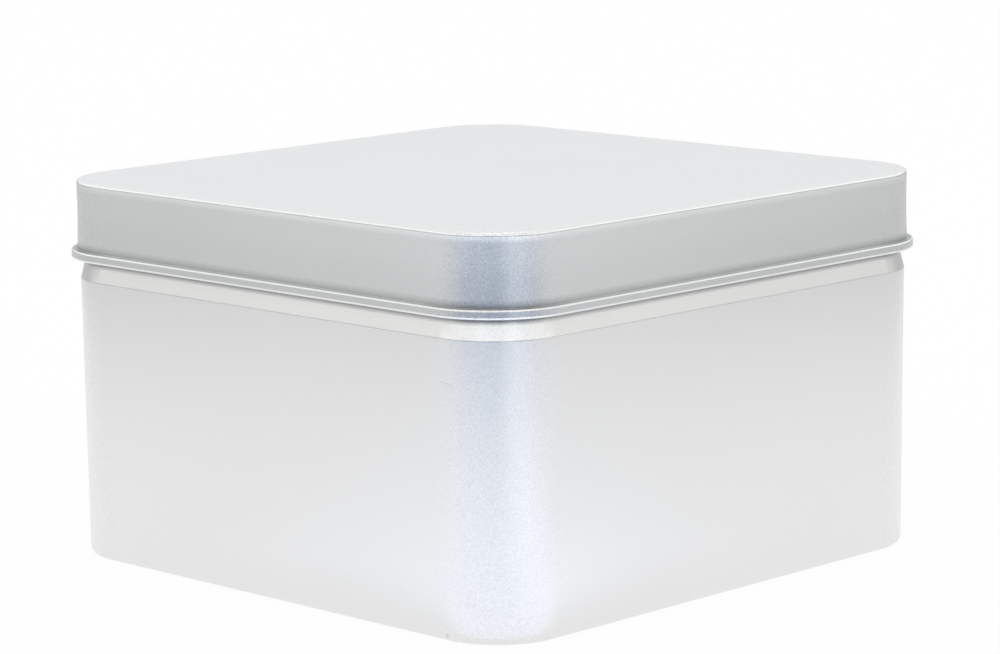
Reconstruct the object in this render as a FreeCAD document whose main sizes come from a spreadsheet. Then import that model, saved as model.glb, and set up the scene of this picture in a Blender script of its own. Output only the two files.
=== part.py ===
"""Square slip-lid tin: a seamless drawn body and a drawn lid with a curled edge.

Every section is drawn once, in the XZ plane on the +X side of the tin, and swept round a
square with rounded corners. Sizes are in millimetres, +Z is up, and the origin is the centre
of the base, on the surface that the tin stands on.
"""
import FreeCAD, Part
import math
import os

import Sketcher

# Driving dimensions: alias, value, meaning.
DIMENSIONS = [
    ("lid_width", 100.2, "across the lid's skirt, just under its top edge"),
    ("overall_height", 60.5, "from the surface it stands on to the lid's top"),
    ("lid_height", 12.45, "from the lid's top to the bottom of its curl"),
    ("corner_radius", 12.0, "lid's vertical corners, at the outer face of the skirt"),
    ("gauge", 0.25, "thickness of the tinplate"),
    ("lid_edge_radius", 0.6, "outer radius of the bend between lid panel and skirt"),
    ("skirt_top_lean", 2.0, "degrees by which the skirt leans inwards at its top"),
    ("skirt_foot_lean", 3.0, "degrees by which it leans outwards at its foot"),
    ("crease_radius", 0.1, "hollow bend between the skirt and the top of its curl"),
    ("crown_radius", 0.3, "bend between the top and the face of the curl"),
    ("curl_face", 0.8, "height of the curl's face, between the centres of its two bends"),
    ("face_lean", 4.0, "degrees by which that face leans outwards"),
    ("curl_radius", 0.35, "roll under the curl"),
    ("curl_width", 1.1, "curl proud of the skirt's top, at its widest"),
    ("curl_end", 170.0, "degrees from outward horizontal to the curl's cut edge"),
    ("lid_clearance", 0.75, "between the top of the skirt's inner face and the neck"),
    ("neck_edge_radius", 0.6, "top edge of the neck"),
    ("shoulder_step", 0.68, "neck set in from the top of the wall"),
    ("shoulder_radius", 4.5, "hollow that brings the neck out into the shoulder"),
    ("shoulder_slope", 14.0, "degrees of the shoulder from the vertical"),
    ("shoulder_edge", 0.6, "bend between shoulder and wall"),
    ("shoulder_drop", 3.35, "that bend below the bottom of the lid's curl"),
    ("base_inset", 0.28, "wall's foot set in from its top, which tapers it"),
    ("base_edge_radius", 1.2, "bend between wall and base"),
    ("foot_width", 2.2, "flat ring that the tin stands on"),
    ("panel_rise", 0.8, "base panel above that ring"),
    ("panel_slope", 40.0, "degrees of the step between ring and panel"),
    ("panel_blend", 0.7, "both bends of that step"),
    ("band_width", 8.0, "swept band, inwards from the skirt or the neck"),
]


def fill_sheet(doc):
    """Put the driving dimensions in a spreadsheet, one aliased cell a row."""
    sheet = doc.addObject("Spreadsheet::Sheet", "dims")
    for row, (alias, value, meaning) in enumerate(DIMENSIONS, start=1):
        sheet.set(f"A{row}", alias)
        sheet.set(f"B{row}", str(value))
        sheet.set(f"C{row}", meaning)
        sheet.setAlias(f"B{row}", alias)
    doc.recompute()
    return sheet


def point(x, y):
    return FreeCAD.Vector(x, y, 0)


def polar(centre, radius, degrees):
    """The point of a circle that lies at an angle from the sketch's X axis."""
    angle = math.radians(degrees)
    return centre + radius * point(math.cos(angle), math.sin(angle))


def bearing(centre, target):
    """The angle, in degrees from 0 to 360, at which a centre sees a point."""
    away = target - centre
    return math.degrees(math.atan2(away.y, away.x)) % 360


class Outline:
    """A closed sketch outline, drawn piece by piece and then held by constraints."""

    def __init__(self, body, name, plane):
        self.sketch = body.newObject("Sketcher::SketchObject", name)
        origin = [item for item in body.Origin.OriginFeatures if item.Role == plane]
        self.sketch.AttachmentSupport = [(origin[0], "")]
        self.sketch.MapMode = "FlatFace"
        self.pieces = []

    def line(self, start, end):
        """Add a straight piece, and return its index."""
        index = self.sketch.addGeometry(Part.LineSegment(start, end))
        self.pieces.append((index, 1, 2))
        return index

    def arc(self, centre, start, end, clockwise):
        """Add an arc from start to end about a centre, and return its index."""
        circle = Part.Circle(centre, FreeCAD.Vector(0, 0, 1), (start - centre).Length)
        first, last = (end, start) if clockwise else (start, end)
        turn_from = math.radians(bearing(centre, first))
        turn_to = math.radians(bearing(centre, last))
        if turn_to <= turn_from:
            turn_to += 2 * math.pi
        index = self.sketch.addGeometry(Part.ArcOfCircle(circle, turn_from, turn_to))
        self.pieces.append((index, 2, 1) if clockwise else (index, 1, 2))
        return index

    def hold(self, kind, *where):
        """Add a constraint without a size."""
        self.sketch.addConstraint(Sketcher.Constraint(kind, *where))

    def bind(self, name, expression, kind, *where_and_value):
        """Add a named constraint whose size follows the spreadsheet."""
        index = self.sketch.addConstraint(Sketcher.Constraint(kind, *where_and_value))
        self.sketch.renameConstraint(index, name)
        self.sketch.setExpression(f"Constraints.{name}", expression)

    def close(self, sharp):
        """Join each piece to the next: tangent, or at a corner after a piece in sharp."""
        following = self.pieces[1:] + self.pieces[:1]
        for (index, _, leave), (after, enter, _) in zip(self.pieces, following):
            kind = "Coincident" if index in sharp else "Tangent"
            self.hold(kind, index, leave, after, enter)


def draw_path(body, name, half_width, radius, half_expression, radius_expression):
    """Draw the square with rounded corners that a section is swept round."""
    path = Outline(body, name, "XY_Plane")
    flat = half_width - radius
    middle = point(half_width, 0)
    corner = [point(flat, flat), point(-flat, flat), point(-flat, -flat), point(flat, -flat)]
    arcs = []
    sides = [path.line(middle, point(half_width, flat))]
    for turn, centre in enumerate(corner):
        start = polar(centre, radius, 90 * turn)
        end = polar(centre, radius, 90 * (turn + 1))
        arcs.append(path.arc(centre, start, end, clockwise=False))
        ahead = corner[(turn + 1) % 4]
        stop = middle if turn == 3 else polar(ahead, radius, 90 * (turn + 1))
        sides.append(path.line(end, stop))
    path.close(sharp=[sides[-1]])
    for number, side in enumerate(sides):
        path.hold("Horizontal" if number % 2 else "Vertical", side)
    for arc in arcs[1:]:
        path.hold("Equal", arcs[0], arc)
    path.hold("PointOnObject", sides[0], 1, -1)
    path.bind("radius", radius_expression, "Radius", arcs[0], radius)
    path.bind("right", half_expression, "DistanceX", -1, 1, sides[0], 1, half_width)
    path.bind("back", half_expression, "DistanceY", -1, 1, sides[1], 1, half_width)
    path.bind("left", half_expression, "DistanceX", sides[2], 1, -1, 1, half_width)
    path.bind("front", half_expression, "DistanceY", sides[3], 1, -1, 1, half_width)
    return path.sketch


def draw_lid_section(body, size):
    """Draw the bent sheet of the lid: panel edge, bend, waisted skirt and flat-faced curl."""
    half = size["lid_width"] / 2
    top = size["overall_height"]
    gauge = size["gauge"]
    bend = size["lid_edge_radius"]
    crease = size["crease_radius"]
    crown = size["crown_radius"]
    curl = size["curl_radius"]
    lean_in = -size["skirt_top_lean"]
    lean_out = size["skirt_foot_lean"]
    seam_x = half - size["band_width"]
    origin = point(0, 0)

    skirt_top_y = top - bend + bend * math.sin(math.radians(lean_in))
    bend_centre = point(half, skirt_top_y) - polar(origin, bend, lean_in)
    curl_centre = point(half + size["curl_width"] - curl, top - size["lid_height"] + curl)
    facing = polar(origin, 1, size["face_lean"])
    face_rise = point(-facing.y, facing.x)
    face = (size["curl_face"] - (curl - crown) * facing.y) / facing.x
    crown_centre = curl_centre + (curl - crown) * facing + face * face_rise
    ledge_y = crown_centre.y + crown
    crease_y = ledge_y + crease
    skirt_drop = skirt_top_y - crease_y + crease * math.sin(math.radians(lean_out))
    turn = math.sin(math.radians(lean_out)) - math.sin(math.radians(lean_in))
    skirt = skirt_drop / turn
    skirt_centre = point(half, skirt_top_y) + polar(origin, skirt, lean_in)
    crease_centre = skirt_centre - polar(origin, skirt - crease, lean_out)

    outline = Outline(body, "lid_section", "XZ_Plane")
    start = point(half, skirt_top_y)
    foot = polar(crease_centre, crease, 180 + lean_out)
    upper = outline.line(point(seam_x, top), point(bend_centre.x, top))
    bend_out = outline.arc(bend_centre, point(bend_centre.x, top), start, True)
    skirt_out = outline.arc(skirt_centre, start, foot, False)
    crease_out = outline.arc(crease_centre, foot, point(crease_centre.x, ledge_y), False)
    ledge_out = outline.line(point(crease_centre.x, ledge_y), point(crown_centre.x, ledge_y))
    crown_foot = crown_centre + crown * facing
    curl_top = curl_centre + curl * facing
    curl_low = curl_centre + (curl - gauge) * facing
    crown_out = outline.arc(crown_centre, point(crown_centre.x, ledge_y), crown_foot, True)
    face_out = outline.line(crown_foot, curl_top)
    cut_out = polar(curl_centre, curl, -size["curl_end"])
    cut_in = polar(curl_centre, curl - gauge, -size["curl_end"])
    curl_out = outline.arc(curl_centre, curl_top, cut_out, True)
    cut = outline.line(cut_out, cut_in)
    curl_in = outline.arc(curl_centre, cut_in, curl_low, False)
    crown_low = crown_centre + (crown - gauge) * facing
    outline.line(curl_low, crown_low)
    crown_in = outline.arc(crown_centre, crown_low, crown_centre + point(0, crown - gauge), False)
    crease_low = crease_centre - point(0, crease + gauge)
    outline.line(crown_centre + point(0, crown - gauge), crease_low)
    inner_foot = polar(crease_centre, crease + gauge, 180 + lean_out)
    crease_in = outline.arc(crease_centre, crease_low, inner_foot, True)
    inner_top = polar(bend_centre, bend - gauge, lean_in)
    skirt_in = outline.arc(skirt_centre, inner_foot, inner_top, True)
    bend_in = outline.arc(bend_centre, inner_top, point(bend_centre.x, top - gauge), False)
    under = outline.line(point(bend_centre.x, top - gauge), point(seam_x, top - gauge))
    seam = outline.line(point(seam_x, top - gauge), point(seam_x, top))

    outline.close(sharp=[curl_out, cut, under, seam])
    for flat in (upper, ledge_out, under):
        outline.hold("Horizontal", flat)
    outline.hold("Vertical", seam)
    pairs = ((bend_out, bend_in), (skirt_out, skirt_in), (crease_out, crease_in),
             (crown_out, crown_in), (curl_out, curl_in))
    for outer, inner in pairs:
        outline.hold("Coincident", outer, 3, inner, 3)
    outline.hold("PointOnObject", curl_in, 3, cut)
    outline.bind("half_width", "dims.lid_width / 2", "DistanceX", -1, 1, skirt_out, 1, half)
    outline.bind("top", "dims.overall_height", "DistanceY", -1, 1, upper, 1, top)
    outline.bind("bend", "dims.lid_edge_radius", "Radius", bend_out, bend)
    outline.bind("bend_inside", "dims.lid_edge_radius - dims.gauge", "Radius", bend_in, bend - gauge)
    outline.bind("crease", "dims.crease_radius", "Radius", crease_out, crease)
    outline.bind("crown", "dims.crown_radius", "Radius", crown_out, crown)
    outline.bind("crown_inside", "dims.crown_radius - dims.gauge", "Radius", crown_in, crown - gauge)
    outline.bind("curl", "dims.curl_radius", "Radius", curl_out, curl)
    outline.bind("curl_inside", "dims.curl_radius - dims.gauge", "Radius", curl_in, curl - gauge)
    outline.bind("curl_level", "dims.overall_height - dims.lid_height + dims.curl_radius",
                 "DistanceY", -1, 1, curl_in, 3, curl_centre.y)
    outline.bind("face", "dims.curl_face", "DistanceY", curl_in, 3, crown_in, 3, size["curl_face"])
    outline.bind("curl_place", "dims.lid_width / 2 + dims.curl_width - dims.curl_radius",
                 "DistanceX", -1, 1, curl_in, 3, curl_centre.x)
    outline.bind("face_lean", "dims.face_lean - 90", "Angle", face_out,
                 math.radians(size["face_lean"] - 90))
    lean_guides = (("top_lean", "0 - dims.skirt_top_lean", start, lean_in, bend_out, 2),
                   ("foot_lean", "dims.skirt_foot_lean", foot, lean_out, crease_out, 1))
    for name, rule, place, lean, arc, end in lean_guides:
        guide = outline.sketch.addGeometry(Part.LineSegment(place, polar(place, 1, lean)), True)
        outline.hold("Coincident", guide, 1, arc, end)
        outline.hold("PointOnObject", skirt_out, 3, guide)
        outline.bind(f"{name}_length", "1 mm", "Distance", guide, 1)
        outline.bind(name, rule, "Angle", guide, math.radians(lean))
    outline.bind("cut_turn", "180 - dims.curl_end", "Angle", cut, math.radians(180 - size["curl_end"]))
    outline.bind("seam", "dims.lid_width / 2 - dims.band_width", "DistanceX", -1, 1, seam, 1, seam_x)
    return outline.sketch


def draw_body_section(body, size):
    """Draw the body's edge: panel step, foot, wall, shoulder and neck."""
    top = size["overall_height"] - size["gauge"]
    neck_x = size["lid_width"] / 2 - size["gauge"] - size["lid_clearance"]
    seam_x = neck_x - size["band_width"]
    edge = size["shoulder_edge"]
    shoulder = size["shoulder_radius"]
    neck_edge = size["neck_edge_radius"]
    base_edge = size["base_edge_radius"]
    blend = size["panel_blend"]
    rise = size["panel_rise"]
    slope = size["panel_slope"]
    edge_y = size["overall_height"] - size["lid_height"] - size["shoulder_drop"]

    wall_top = point(neck_x + size["shoulder_step"], edge_y)
    wall_foot = point(wall_top.x - size["base_inset"], 0)
    along = (wall_top - wall_foot).normalize()
    outward = point(along.y, -along.x)
    base_lift = base_edge * (1 - along.x) / along.y
    base_centre = wall_foot + base_lift * along - base_edge * outward

    shoulder_edge_centre = wall_top - edge * outward
    shoulder_tilt = polar(point(0, 0), 1, size["shoulder_slope"])
    flank_foot = shoulder_edge_centre + edge * shoulder_tilt
    flank_rise = point(-shoulder_tilt.y, shoulder_tilt.x)
    shoulder_x = neck_x + shoulder
    flank_run = (flank_foot.x + shoulder * shoulder_tilt.x - shoulder_x) / shoulder_tilt.y
    flank_top = flank_foot + flank_run * flank_rise
    shoulder_centre = flank_top + shoulder * shoulder_tilt

    foot_in = point(base_centre.x - size["foot_width"], 0)
    ring_centre = foot_in + point(0, blend)
    step_foot = polar(ring_centre, blend, 270 - slope)
    step_height = rise - 2 * step_foot.y
    step_top = step_foot + point(-step_height / math.tan(math.radians(slope)), step_height)
    panel_centre = step_top + step_foot - ring_centre

    outline = Outline(body, "body_section", "XZ_Plane")
    panel = outline.line(point(seam_x, rise), point(panel_centre.x, rise))
    panel_bend = outline.arc(panel_centre, point(panel_centre.x, rise), step_top, True)
    step = outline.line(step_top, step_foot)
    ring_bend = outline.arc(ring_centre, step_foot, foot_in, False)
    foot = outline.line(foot_in, point(base_centre.x, 0))
    wall_start = base_centre + base_edge * outward
    base_bend = outline.arc(base_centre, point(base_centre.x, 0), wall_start, False)
    wall = outline.line(wall_start, wall_top)
    edge_turn = outline.arc(shoulder_edge_centre, wall_top, flank_foot, False)
    flank = outline.line(flank_foot, flank_top)
    neck_start = point(neck_x, shoulder_centre.y)
    shoulder_bend = outline.arc(shoulder_centre, flank_top, neck_start, True)
    neck = outline.line(neck_start, point(neck_x, top - neck_edge))
    edge_centre = point(neck_x - neck_edge, top - neck_edge)
    edge_bend = outline.arc(edge_centre, point(neck_x, top - neck_edge), point(edge_centre.x, top), False)
    upper = outline.line(point(edge_centre.x, top), point(seam_x, top))
    seam = outline.line(point(seam_x, top), point(seam_x, rise))

    outline.close(sharp=[upper, seam])
    for flat in (panel, foot, upper):
        outline.hold("Horizontal", flat)
    for upright in (neck, seam):
        outline.hold("Vertical", upright)
    guide = outline.sketch.addGeometry(Part.LineSegment(wall_foot, wall_start), True)
    outline.hold("Coincident", guide, 2, wall, 1)
    outline.hold("Parallel", guide, wall)
    outline.hold("PointOnObject", guide, 1, -1)
    outline.hold("PointOnObject", foot, 1, -1)
    neck_rule = "dims.lid_width / 2 - dims.gauge - dims.lid_clearance"
    wall_rule = f"{neck_rule} + dims.shoulder_step"
    outline.bind("wall_foot", f"{wall_rule} - dims.base_inset", "DistanceX", -1, 1, guide, 1, wall_foot.x)
    outline.bind("wall_top", wall_rule, "DistanceX", -1, 1, wall, 2, wall_top.x)
    outline.bind("wall_level", "dims.overall_height - dims.lid_height - dims.shoulder_drop",
                 "DistanceY", -1, 1, wall, 2, edge_y)
    outline.bind("edge_turn", "dims.shoulder_edge", "Radius", edge_turn, edge)
    outline.bind("flank_slope", "90 + dims.shoulder_slope", "Angle", flank,
                 math.radians(90 + size["shoulder_slope"]))
    outline.bind("shoulder", "dims.shoulder_radius", "Radius", shoulder_bend, shoulder)
    outline.bind("neck_place", neck_rule, "DistanceX", -1, 1, neck, 1, neck_x)
    outline.bind("neck_edge", "dims.neck_edge_radius", "Radius", edge_bend, neck_edge)
    outline.bind("top", "dims.overall_height - dims.gauge", "DistanceY", -1, 1, upper, 1, top)
    outline.bind("base_edge", "dims.base_edge_radius", "Radius", base_bend, base_edge)
    outline.bind("foot", "dims.foot_width", "DistanceX", foot, 1, foot, 2, size["foot_width"])
    outline.bind("ring_blend", "dims.panel_blend", "Radius", ring_bend, blend)
    outline.bind("panel_blend", "dims.panel_blend", "Radius", panel_bend, blend)
    outline.bind("slope", "0 - dims.panel_slope", "Angle", step, math.radians(-slope))
    outline.bind("rise", "dims.panel_rise", "DistanceY", -1, 1, panel, 1, rise)
    outline.bind("seam", f"{neck_rule} - dims.band_width", "DistanceX", -1, 1, seam, 1, seam_x)
    return outline.sketch


def sweep_round(body, name, section, path):
    """Sweep a section round the closed path."""
    pipe = body.newObject("PartDesign::AdditivePipe", name)
    pipe.Profile = section
    pipe.Spine = path
    pipe.Refine = True
    return pipe


def fill_middle(body, name, sketch, level, length):
    """Pad the flat middle, which reaches half-way into the swept band."""
    sketch.setExpression("AttachmentOffset.Base.z", level)
    pad = body.newObject("PartDesign::Pad", name)
    pad.Profile = sketch
    pad.setExpression("Length", length)
    pad.Refine = True
    return pad


def make_lid(doc, size):
    """Make the lid, one bent and curled sheet."""
    lid = doc.addObject("PartDesign::Body", "lid")
    half = size["lid_width"] / 2
    radius = size["corner_radius"]
    overlap = size["band_width"] / 2
    path = draw_path(lid, "lid_path", half, radius, "dims.lid_width / 2", "dims.corner_radius")
    section = draw_lid_section(lid, size)
    sweep_round(lid, "lid_rim", section, path)
    middle = draw_path(lid, "lid_middle", half - overlap, radius - overlap,
                       "(dims.lid_width - dims.band_width) / 2",
                       "dims.corner_radius - dims.band_width / 2")
    fill_middle(lid, "lid_panel", middle, "dims.overall_height - dims.gauge", "dims.gauge")
    return lid


def make_body(doc, size):
    """Make the shut tin's body, solid up to the underside of the lid."""
    tin = doc.addObject("PartDesign::Body", "tin_body")
    fit = size["gauge"] + size["lid_clearance"]
    half = size["lid_width"] / 2 - fit
    radius = size["corner_radius"] - fit
    overlap = size["band_width"] / 2
    half_rule = "dims.lid_width / 2 - dims.gauge - dims.lid_clearance"
    radius_rule = "dims.corner_radius - dims.gauge - dims.lid_clearance"
    path = draw_path(tin, "body_path", half, radius, half_rule, radius_rule)
    section = draw_body_section(tin, size)
    sweep_round(tin, "body_edge", section, path)
    middle = draw_path(tin, "body_middle", half - overlap, radius - overlap,
                       f"{half_rule} - dims.band_width / 2", f"{radius_rule} - dims.band_width / 2")
    fill_middle(tin, "body_core", middle, "dims.panel_rise",
                "dims.overall_height - dims.gauge - dims.panel_rise")
    return tin


def check(doc, nodes):
    """Stop unless every object is up to date and every node is one valid solid."""
    for item in doc.Objects:
        if "Invalid" in item.State or "Error" in item.State:
            raise RuntimeError(f"{item.Name} failed: {item.State}")
        if item.TypeId == "Sketcher::SketchObject" and not item.FullyConstrained:
            raise RuntimeError(f"{item.Name} is not fully constrained")
    for node in nodes:
        shape = node.Shape
        if shape.isNull() or not shape.isValid() or len(shape.Solids) != 1:
            raise RuntimeError(f"{node.Label} is not one valid solid")


def main():
    doc = FreeCAD.newDocument("square_tin")
    fill_sheet(doc)
    size = {alias: value for alias, value, _ in DIMENSIONS}
    nodes = [make_body(doc, size), make_lid(doc, size)]
    doc.recompute()
    check(doc, nodes)
    os.makedirs("parts", exist_ok=True)
    for node in nodes:
        box = node.Shape.optimalBoundingBox(False, False)
        print(f"{node.Label}: {node.Shape.Volume:.1f} mm3, {box.XLength:.2f} x {box.YLength:.2f}, "
              f"z {box.ZMin:.2f} to {box.ZMax:.2f}")
        node.Shape.exportStep(f"parts/{node.Label}.step")


main()
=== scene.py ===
"""Looks of the square slip-lid tin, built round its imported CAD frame."""
import math

import bpy
from mathutils import Matrix, Vector


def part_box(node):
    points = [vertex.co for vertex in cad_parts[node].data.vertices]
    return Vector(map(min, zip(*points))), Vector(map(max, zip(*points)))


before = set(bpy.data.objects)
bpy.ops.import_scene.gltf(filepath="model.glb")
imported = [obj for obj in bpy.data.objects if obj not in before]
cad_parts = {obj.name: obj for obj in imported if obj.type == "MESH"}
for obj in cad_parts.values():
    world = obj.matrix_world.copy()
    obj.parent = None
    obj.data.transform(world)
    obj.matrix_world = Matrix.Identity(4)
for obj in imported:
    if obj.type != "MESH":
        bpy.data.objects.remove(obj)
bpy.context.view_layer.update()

# The camera, in degrees, metres and, for the lens, millimetres: where it stands, as seen from a
# point just under the middle of the lid, and how it is turned from facing that point.
CAMERA_AZIMUTH = 44.54
CAMERA_ELEVATION = 7.48
CAMERA_DISTANCE = 0.59439
AIM_BELOW_LID = 0.0005
CAMERA_YAW = -0.097
CAMERA_PITCH = -2.32
CAMERA_ROLL = 0.68
CAMERA_LENS = 134.64


def heading(azimuth, elevation):
    """Unit vector towards an azimuth, counted from -Y towards +X, and an elevation."""
    turn = math.radians(azimuth)
    lift = math.radians(elevation)
    return Vector((math.sin(turn) * math.cos(lift), -math.cos(turn) * math.cos(lift), math.sin(lift)))


def add_camera():
    """Stand the camera above the lid, facing a corner of the tin."""
    away = heading(CAMERA_AZIMUTH, CAMERA_ELEVATION)
    aim = Vector((0, 0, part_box("lid")[1].z - AIM_BELOW_LID))
    place = aim + CAMERA_DISTANCE * away
    right = Vector((0, 0, 1)).cross(away).normalized()
    level = Matrix((right, away.cross(right), away)).transposed()
    turn = (Matrix.Rotation(math.radians(CAMERA_YAW), 3, "Y")
            @ Matrix.Rotation(math.radians(CAMERA_PITCH), 3, "X")
            @ Matrix.Rotation(math.radians(-CAMERA_ROLL), 3, "Z"))
    data = bpy.data.cameras.new("camera")
    data.lens = CAMERA_LENS
    camera = bpy.data.objects.new("camera", data)
    camera.matrix_world = Matrix.Translation(place) @ (level @ turn).to_4x4()
    bpy.context.scene.collection.objects.link(camera)
    bpy.context.scene.camera = camera


class Nodes:
    """A small helper that adds shader nodes and wires them."""

    def __init__(self, tree):
        self.tree = tree
        self.tree.nodes.clear()

    def add(self, kind, settings=None, **inputs):
        """Add a node. An underscore in the name of an input stands for a space."""
        node = self.tree.nodes.new(kind)
        for name, value in (settings or {}).items():
            setattr(node, name, value)
        for name, value in inputs.items():
            self.put(node, name.replace("_", " "), value)
        return node

    def put(self, node, name, value):
        """Wire an output to an input, or set the input's own value. A name may be a number."""
        socket = node.inputs[name]
        if isinstance(value, bpy.types.NodeSocket):
            self.tree.links.new(value, socket)
        else:
            socket.default_value = value

    def math(self, operation, *values):
        """The result of a sum on numbers."""
        node = self.add("ShaderNodeMath", {"operation": operation})
        for index, value in enumerate(values):
            self.put(node, index, value)
        return node.outputs[0]

    def vector(self, operation, output, *values):
        """One output of a sum on vectors."""
        node = self.add("ShaderNodeVectorMath", {"operation": operation})
        for index, value in enumerate(values):
            self.put(node, index, value)
        return node.outputs[output]

    def span(self, value, low, high, start=0.0, end=1.0):
        """Carry a value from one range over to another, held at its ends."""
        node = self.add("ShaderNodeMapRange", Value=value, From_Min=low, From_Max=high,
                        To_Min=start, To_Max=end)
        return node.outputs[0]

    def ramp(self, factor, stops):
        """A colour ramp from (position, colour) stops, the first of them at 0."""
        node = self.add("ShaderNodeValToRGB", Fac=factor)
        elements = node.color_ramp.elements
        while len(elements) < len(stops):
            elements.new(0.5)
        for element, (position, colour) in zip(elements, stops):
            element.position = position
            element.color = (*colour, 1.0)
        return node.outputs["Color"]

    def blend(self, factor, first, second):
        """Mix two colours, all of the second at a factor of 1."""
        node = self.add("ShaderNodeMix", {"data_type": "RGBA"})
        self.put(node, 0, factor)
        self.put(node, 6, first)
        self.put(node, 7, second)
        return node.outputs[2]


def new_material(name):
    """An empty node material, and the helper for its nodes."""
    material = bpy.data.materials.new(name)
    material.use_nodes = True
    return material, Nodes(material.node_tree)


def add_mesh(name, points, faces, material):
    """A mesh object of one material."""
    mesh = bpy.data.meshes.new(name)
    mesh.from_pydata(points, [], faces)
    mesh.materials.append(material)
    thing = bpy.data.objects.new(name, mesh)
    bpy.context.scene.collection.objects.link(thing)
    return thing


def grey(level):
    return (level, level, level, 1.0)


def seen(n):
    """1 on camera, glossy and transmission rays, and 0 on the rays that only light things."""
    path = n.add("ShaderNodeLightPath")
    direct = n.math("MAXIMUM", path.outputs["Is Camera Ray"], path.outputs["Is Glossy Ray"])
    return n.math("MAXIMUM", direct, path.outputs["Is Transmission Ray"])


WHITE = grey(1.0)
AMBIENT = grey(0.95)


def build_world():
    """White where it is seen, and a plain soft light elsewhere."""
    world = bpy.data.worlds.new("studio")
    bpy.context.scene.world = world
    world.use_nodes = True
    n = Nodes(world.node_tree)
    light = n.add("ShaderNodeBackground", Color=n.blend(seen(n), AMBIENT, WHITE))
    n.add("ShaderNodeOutputWorld", Surface=light.outputs[0])


FLOOR_SIZE = 12.0
FLOOR_GLOW = 0.93
FLOOR_SHADE = grey(1 - FLOOR_GLOW)
FLOOR_PAPER = grey(0.9)


def build_floor():
    """A white floor: most of its white is its own glow, and the rest takes the tin's shadow.

    To the rays that only light things it is white paper.
    """
    material, n = new_material("floor")
    glow = n.add("ShaderNodeEmission", Color=WHITE, Strength=FLOOR_GLOW)
    shade = n.add("ShaderNodeBsdfDiffuse", Color=FLOOR_SHADE)
    both = n.add("ShaderNodeAddShader")
    n.put(both, 0, glow.outputs[0])
    n.put(both, 1, shade.outputs[0])
    paper = n.add("ShaderNodeBsdfDiffuse", Color=FLOOR_PAPER)
    either = n.add("ShaderNodeMixShader")
    n.put(either, 0, seen(n))
    n.put(either, 1, paper.outputs[0])
    n.put(either, 2, both.outputs[0])
    n.add("ShaderNodeOutputMaterial", Surface=either.outputs[0])
    half = FLOOR_SIZE / 2
    corners = [(-half, -half, 0), (half, -half, 0), (half, half, 0), (-half, half, 0)]
    add_mesh("floor", corners, [(0, 1, 2, 3)], material)


# The surround is a card that lies round the tin, then stands up, and shows only in reflections.
# It starts just outside the corners of the tin's wall and a little above the floor.
CARD_INNER = 0.0668
CARD_OUTER = 1.2
CARD_LIFT = 0.0005
CARD_TOP = 0.75
CARD_SECTION = ((CARD_INNER, CARD_LIFT), (CARD_OUTER, CARD_LIFT), (CARD_OUTER, CARD_TOP))
CARD_SIDES = 96

# Its tone follows the slope, as rise over run, at which it is seen from the eye, a point at this
# height in the middle of the tin. Each list holds (slope, tone) from the card's inside up, and a
# tone of 1 is as bright as the world. The brightest tone is just under the strength.
CARD_EYE = 0.045
CARD_STRENGTH = 1.6
CARD_LOW = -0.64
CARD_HIGH = 0.60
PLAIN = (1.0, 1.0, 1.0)
CARD_ABOVE = ((0.24, (1.2, 1.2, 1.17)), (0.38, (1.56, 1.56, 1.5)), (CARD_HIGH, (1.05, 1.05, 1.05)))
CARD_FRONT = ((CARD_LOW, (1.10, 1.13, 1.20)), (-0.28, (1.10, 1.14, 1.22)), (-0.17, (1.08, 1.14, 1.22)),
              (-0.125, (0.62, 0.71, 0.85)), (-0.10, (0.20, 0.30, 0.46)), (-0.075, (0.0, 0.06, 0.20)),
              (-0.045, (0.0, 0.01, 0.08)), (0.07, (0.0, 0.01, 0.04)), (0.176, (0.38, 0.48, 0.64)),
              *CARD_ABOVE)
CARD_WINDOW = ((CARD_LOW, (1.14, 1.17, 1.25)), (-0.28, (1.20, 1.24, 1.32)), (-0.17, (1.20, 1.25, 1.34)),
               (-0.125, (1.0, 1.04, 1.12)), (-0.10, (0.60, 0.72, 0.90)), (-0.075, (0.15, 0.26, 0.42)),
               (-0.045, (0.0, 0.02, 0.10)), (0.07, (0.0, 0.01, 0.06)), (0.176, (0.42, 0.52, 0.66)),
               *CARD_ABOVE)
CARD_SIDE = ((CARD_LOW, PLAIN), (-0.17, PLAIN), (-0.125, (0.66, 0.66, 0.66)),
             (-0.04, (0.56, 0.57, 0.57)), (0.03, (0.24, 0.24, 0.24)), (0.105, (0.62, 0.62, 0.62)),
             (0.22, (1.2, 1.2, 1.17)), (0.38, (1.5, 1.5, 1.44)), (CARD_HIGH, (1.05, 1.05, 1.05)))
CARD_BACK = ((CARD_LOW, PLAIN), (-0.16, PLAIN), (-0.10, (0.62, 0.62, 0.62)),
             (0.03, (0.57, 0.57, 0.59)), (0.105, (0.75, 0.76, 0.79)), (0.19, PLAIN),
             (CARD_HIGH, PLAIN))

# Where one side's tones give way to another's, as the cosine of the angle from the middle of
# that side. The window's middle is turned this far from the camera's side, in degrees.
FRONT_SPREAD = (0.35, 0.9)
BACK_SPREAD = (0.4, 0.9)
WINDOW_TURN = 26.0
WINDOW_SPREAD = (0.93, 0.99)


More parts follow.
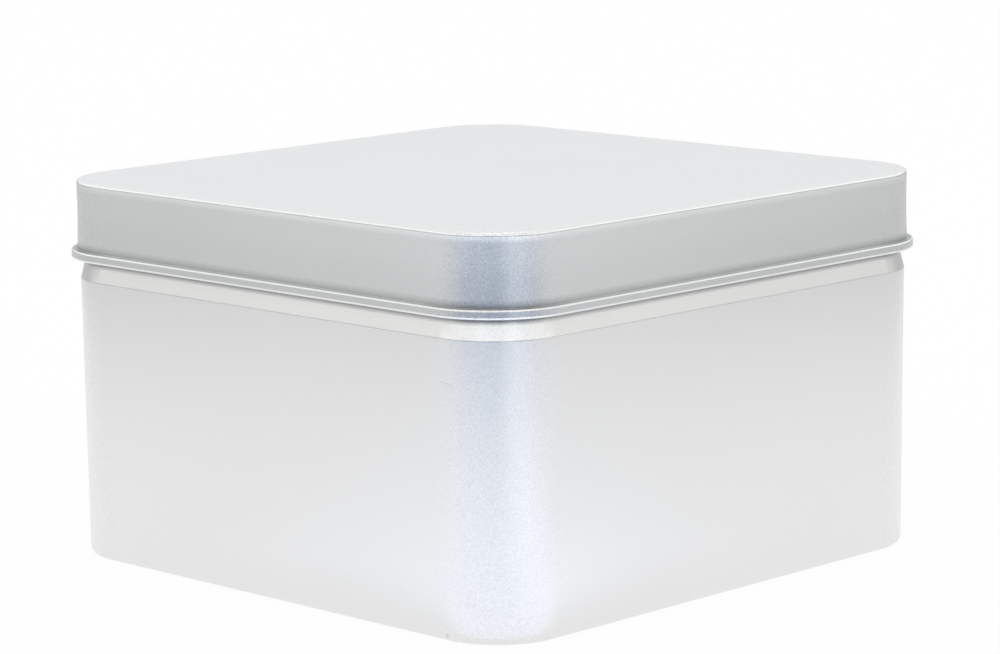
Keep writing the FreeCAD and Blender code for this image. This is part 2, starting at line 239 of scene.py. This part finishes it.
def surround_material():
    """The card's glow, by its slope from the eye and its side of the tin."""
    material, n = new_material("surround")
    place = n.add("ShaderNodeNewGeometry").outputs["Position"]
    flat = n.vector("MULTIPLY", "Vector", place, (1, 1, 0))
    run = n.vector("LENGTH", "Value", flat)
    height = n.add("ShaderNodeSeparateXYZ", Vector=place).outputs["Z"]
    slope = n.math("DIVIDE", n.math("SUBTRACT", height, CARD_EYE), run)
    along = n.span(slope, CARD_LOW, CARD_HIGH)
    reach = CARD_HIGH - CARD_LOW

    def side_tone(stops):
        scaled = [((at - CARD_LOW) / reach, Vector(tone) / CARD_STRENGTH) for at, tone in stops]
        return n.ramp(along, scaled)

    around = n.vector("NORMALIZE", "Vector", flat)
    to_camera = n.vector("DOT_PRODUCT", "Value", around, heading(CAMERA_AZIMUTH, 0))
    to_window = n.vector("DOT_PRODUCT", "Value", around, heading(CAMERA_AZIMUTH + WINDOW_TURN, 0))
    to_back = n.math("MULTIPLY", to_camera, -1.0)
    tone = n.blend(n.span(to_window, *WINDOW_SPREAD), side_tone(CARD_FRONT), side_tone(CARD_WINDOW))
    tone = n.blend(n.span(to_camera, *FRONT_SPREAD), side_tone(CARD_SIDE), tone)
    tone = n.blend(n.span(to_back, *BACK_SPREAD), tone, side_tone(CARD_BACK))
    glow = n.add("ShaderNodeEmission", Color=tone, Strength=CARD_STRENGTH)
    n.add("ShaderNodeOutputMaterial", Surface=glow.outputs[0])
    return material


def build_surround():
    """Turn the card's section round the tin, and show the card only in reflections."""
    points = []
    for step in range(CARD_SIDES):
        turn = 2 * math.pi * step / CARD_SIDES
        points += [(run * math.cos(turn), run * math.sin(turn), rise) for run, rise in CARD_SECTION]
    rings = len(CARD_SECTION)
    faces = []
    for step in range(CARD_SIDES):
        here = rings * step
        there = rings * ((step + 1) % CARD_SIDES)
        faces += [(here + k, there + k, there + k + 1, here + k + 1) for k in range(rings - 1)]
    card = add_mesh("surround", points, faces, surround_material())
    card.visible_camera = False
    card.visible_diffuse = False
    card.visible_shadow = False


def softbox(name, azimuth, elevation, distance, width, height, glow, colour=(1, 1, 1)):
    """A flat lamp, in metres and degrees, that faces the tin; glow 1 is as bright as the world."""
    data = bpy.data.lights.new(name, "AREA")
    data.shape = "RECTANGLE"
    data.size = width
    data.size_y = height
    data.energy = glow * math.pi * width * height
    data.color = colour
    aim = Vector((0, 0, CARD_EYE))
    lamp = bpy.data.objects.new(name, data)
    lamp.location = aim + distance * heading(azimuth, elevation)
    lamp.rotation_euler = (aim - lamp.location).to_track_quat("-Z", "Y").to_euler()
    bpy.context.scene.collection.objects.link(lamp)


# The sheet's finish: scales are per metre, and depths are in metres. The mottle and the gloss
# vary by these ranges, and the speckle by this contrast on the flat sides.
GLOSS = 0.29
GRAIN_SCALE = 6000.0
GRAIN_DEPTH = 1.6e-5
SPECKLE_SCALE = 3500.0
SPECKLE_FLAT = 0.05
MOTTLE_SCALE = 35.0
MOTTLE_DETAIL = 3.0
MOTTLE_TONE = (0.98, 1.01)
MOTTLE_GLOSS = 0.014
WAVE_SCALE = 14.0
WAVE_DEPTH = 2.0e-5
NOISE_MIDDLE = 0.5

# How far from both middle planes a place is where a corner's look begins and where it is complete.
BEND_FROM = 0.034
BEND_END = 0.043

# The painted shade on the skirt, over this height above the ledge on top of the lid's curl, takes
# these shares of the tone on the flat sides and at the corners. The margin keeps it off the curl.
LEDGE = 0.0495
LEDGE_MARGIN = 2e-5
CREASE_HEIGHT = 0.0013
CREASE_SHADE_LOSS = (0.33, 0.56)

# The painted shade on the body grows up to the lid's curl, and is this much stronger at the corners.
CURL_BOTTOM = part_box("lid")[0].z
NECK_SHADE_BELOW = 0.0009
NECK_SHADE_END = 0.0001
NECK_SHADE_LOSS = 0.65
NECK_CORNERS = 1.25

# The swell under the lid's edge: its two heights, and how far it stands out.
SWELL_FROM = 0.0589
SWELL_END = 0.0599
SWELL_DEPTH = 4.0e-5

# Two small marks on the front face, near its right end. The scratch is a short part of a ring, as
# far as the reach goes from its place. A range is where the mark is full and where it has faded.
SCRATCH_CENTRE = (0.0374, -0.0497, 0.0307)
SCRATCH_RADIUS = 0.0078
SCRATCH_WIDTH = (0.00004, 0.00012)
SCRATCH_TONE = 0.88
SCRATCH_PLACE = (0.0390, -0.0497, 0.0383)
SCRATCH_REACH = (0.0008, 0.0015)
NICK_PLACE = (0.0385, -0.0494, 0.0009)
NICK_WIDTH = (0.0001, 0.00045)
NICK_TONE = 0.78


def noise(n, coords, scale, detail=1.0):
    """A soft random pattern from 0 to 1."""
    return n.add("ShaderNodeTexNoise", Vector=coords, Scale=scale, Detail=detail).outputs["Fac"]


def corner_share(n, place):
    """0 on the flat sides and 1 at the corners, where the sheet was bent."""
    across = n.math("ABSOLUTE", place.outputs["X"])
    along = n.math("ABSOLUTE", place.outputs["Y"])
    return n.span(n.math("MINIMUM", across, along), BEND_FROM, BEND_END)


def tinplate(name, colour, corner_speckle, painted_shade, swell=None, marks=()):
    """Bright tinplate: metal with a fine grain, a cloudy gloss and painted shade near the lid's curl.

    The painted shade and each of marks give the share of the tone that a place keeps. swell gives a
    relief in metres. corner_speckle is the contrast of the speckle at the corners, where the sheet was
    drawn.
    """
    material, n = new_material(name)
    coords = n.add("ShaderNodeTexCoord").outputs["Object"]
    place = n.add("ShaderNodeSeparateXYZ", Vector=coords)
    height = place.outputs["Z"]
    corner = corner_share(n, place)
    grain = noise(n, coords, GRAIN_SCALE)
    cloud = noise(n, coords, MOTTLE_SCALE, MOTTLE_DETAIL)
    wave = noise(n, coords, WAVE_SCALE)
    speckle = n.math("SUBTRACT", noise(n, coords, SPECKLE_SCALE), NOISE_MIDDLE)
    contrast = n.span(corner, 0.0, 1.0, SPECKLE_FLAT, corner_speckle)
    tone = n.math("MULTIPLY_ADD", speckle, contrast, n.span(cloud, 0.0, 1.0, *MOTTLE_TONE))
    # Painted shade: the tone is darkened near the lid's curl.
    tone = n.math("MULTIPLY", tone, painted_shade(n, height, corner))
    for mark in marks:
        tone = n.math("MULTIPLY", tone, mark(n, coords))
    tint = n.add("ShaderNodeVectorMath", {"operation": "SCALE"}, Scale=tone)
    n.put(tint, 0, colour)
    roughness = n.span(cloud, 0.0, 1.0, GLOSS - MOTTLE_GLOSS, GLOSS + MOTTLE_GLOSS)
    relief = n.math("MULTIPLY_ADD", wave, WAVE_DEPTH, n.math("MULTIPLY", grain, GRAIN_DEPTH))
    if swell:
        relief = n.math("ADD", relief, swell(n, height))
    bump = n.add("ShaderNodeBump", Strength=1.0, Distance=1.0, Height=relief)
    skin = n.add("ShaderNodeBsdfPrincipled", Base_Color=tint.outputs[0], Metallic=1.0,
                 Roughness=roughness, Normal=bump.outputs[0])
    n.add("ShaderNodeOutputMaterial", Surface=skin.outputs[0])
    return material


def lid_crease_painted_shade(n, height, corner):
    """Painted shade: darker where the skirt runs into the top of its curl, most of all at the corners.
    """
    depth = n.span(height, LEDGE, LEDGE + CREASE_HEIGHT, 1.0, 0.0)
    loss = n.span(corner, 0.0, 1.0, *CREASE_SHADE_LOSS)
    kept = n.math("SUBTRACT", 1.0, n.math("MULTIPLY", depth, loss))
    return n.math("MAXIMUM", kept, n.math("LESS_THAN", height, LEDGE - LEDGE_MARGIN))


def neck_painted_shade(n, height, corner):
    """Painted shade: darker where the neck goes up into the lid's curl."""
    low = CURL_BOTTOM - NECK_SHADE_BELOW
    loss = n.span(height, low, CURL_BOTTOM - NECK_SHADE_END, 0.0, NECK_SHADE_LOSS)
    more = n.span(corner, 0.0, 1.0, 1.0, NECK_CORNERS)
    return n.math("SUBTRACT", 1.0, n.math("MULTIPLY", loss, more))


def lid_swell(n, height):
    """The skirt swells gently towards the lid's edge."""
    climb = n.span(height, SWELL_FROM, SWELL_END)
    return n.math("MULTIPLY", SWELL_DEPTH, n.math("MULTIPLY", climb, climb))


def scratch(n, coords):
    """A fine curved scratch."""
    away = n.vector("DISTANCE", "Value", coords, SCRATCH_CENTRE)
    off_line = n.math("ABSOLUTE", n.math("SUBTRACT", away, SCRATCH_RADIUS))
    line = n.span(off_line, *SCRATCH_WIDTH, SCRATCH_TONE, 1.0)
    off_place = n.vector("DISTANCE", "Value", coords, SCRATCH_PLACE)
    return n.math("MAXIMUM", line, n.span(off_place, *SCRATCH_REACH))


def nick(n, coords):
    """A small dark nick in the base edge, below the scratch."""
    away = n.vector("DISTANCE", "Value", coords, NICK_PLACE)
    return n.span(away, *NICK_WIDTH, NICK_TONE, 1.0)


def dress(node, material):
    """Give a CAD node its material, in every slot."""
    for slot in node.material_slots:
        slot.material = material


WINDOW_COLOUR = (0.75, 0.88, 1.0)
BODY_COLOUR = (0.82, 0.82, 0.82)
LID_COLOUR = (0.80, 0.81, 0.815)
BODY_SPECKLE = 0.32
LID_SPECKLE = 0.55

add_camera()
build_world()
build_floor()
build_surround()
softbox("overhead", azimuth=0, elevation=90, distance=1.2, width=0.8, height=0.8, glow=0.3)
softbox("window_right", azimuth=CAMERA_AZIMUTH + 22, elevation=7, distance=1.0,
        width=0.06, height=0.16, glow=3.4, colour=WINDOW_COLOUR)
softbox("window_left", azimuth=CAMERA_AZIMUTH - 21, elevation=7, distance=1.0,
        width=0.07, height=0.16, glow=1.9, colour=WINDOW_COLOUR)

# Both metals have painted shade: their colour is darkened near the lid's curl.
body_metal = tinplate("body_tinplate", BODY_COLOUR, BODY_SPECKLE, neck_painted_shade, marks=(scratch, nick))
lid_metal = tinplate("lid_tinplate", LID_COLOUR, LID_SPECKLE, lid_crease_painted_shade, swell=lid_swell)
dress(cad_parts["tin_body"], body_metal)
dress(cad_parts["lid"], lid_metal)

scene = bpy.context.scene
scene.view_settings.view_transform = "Standard"
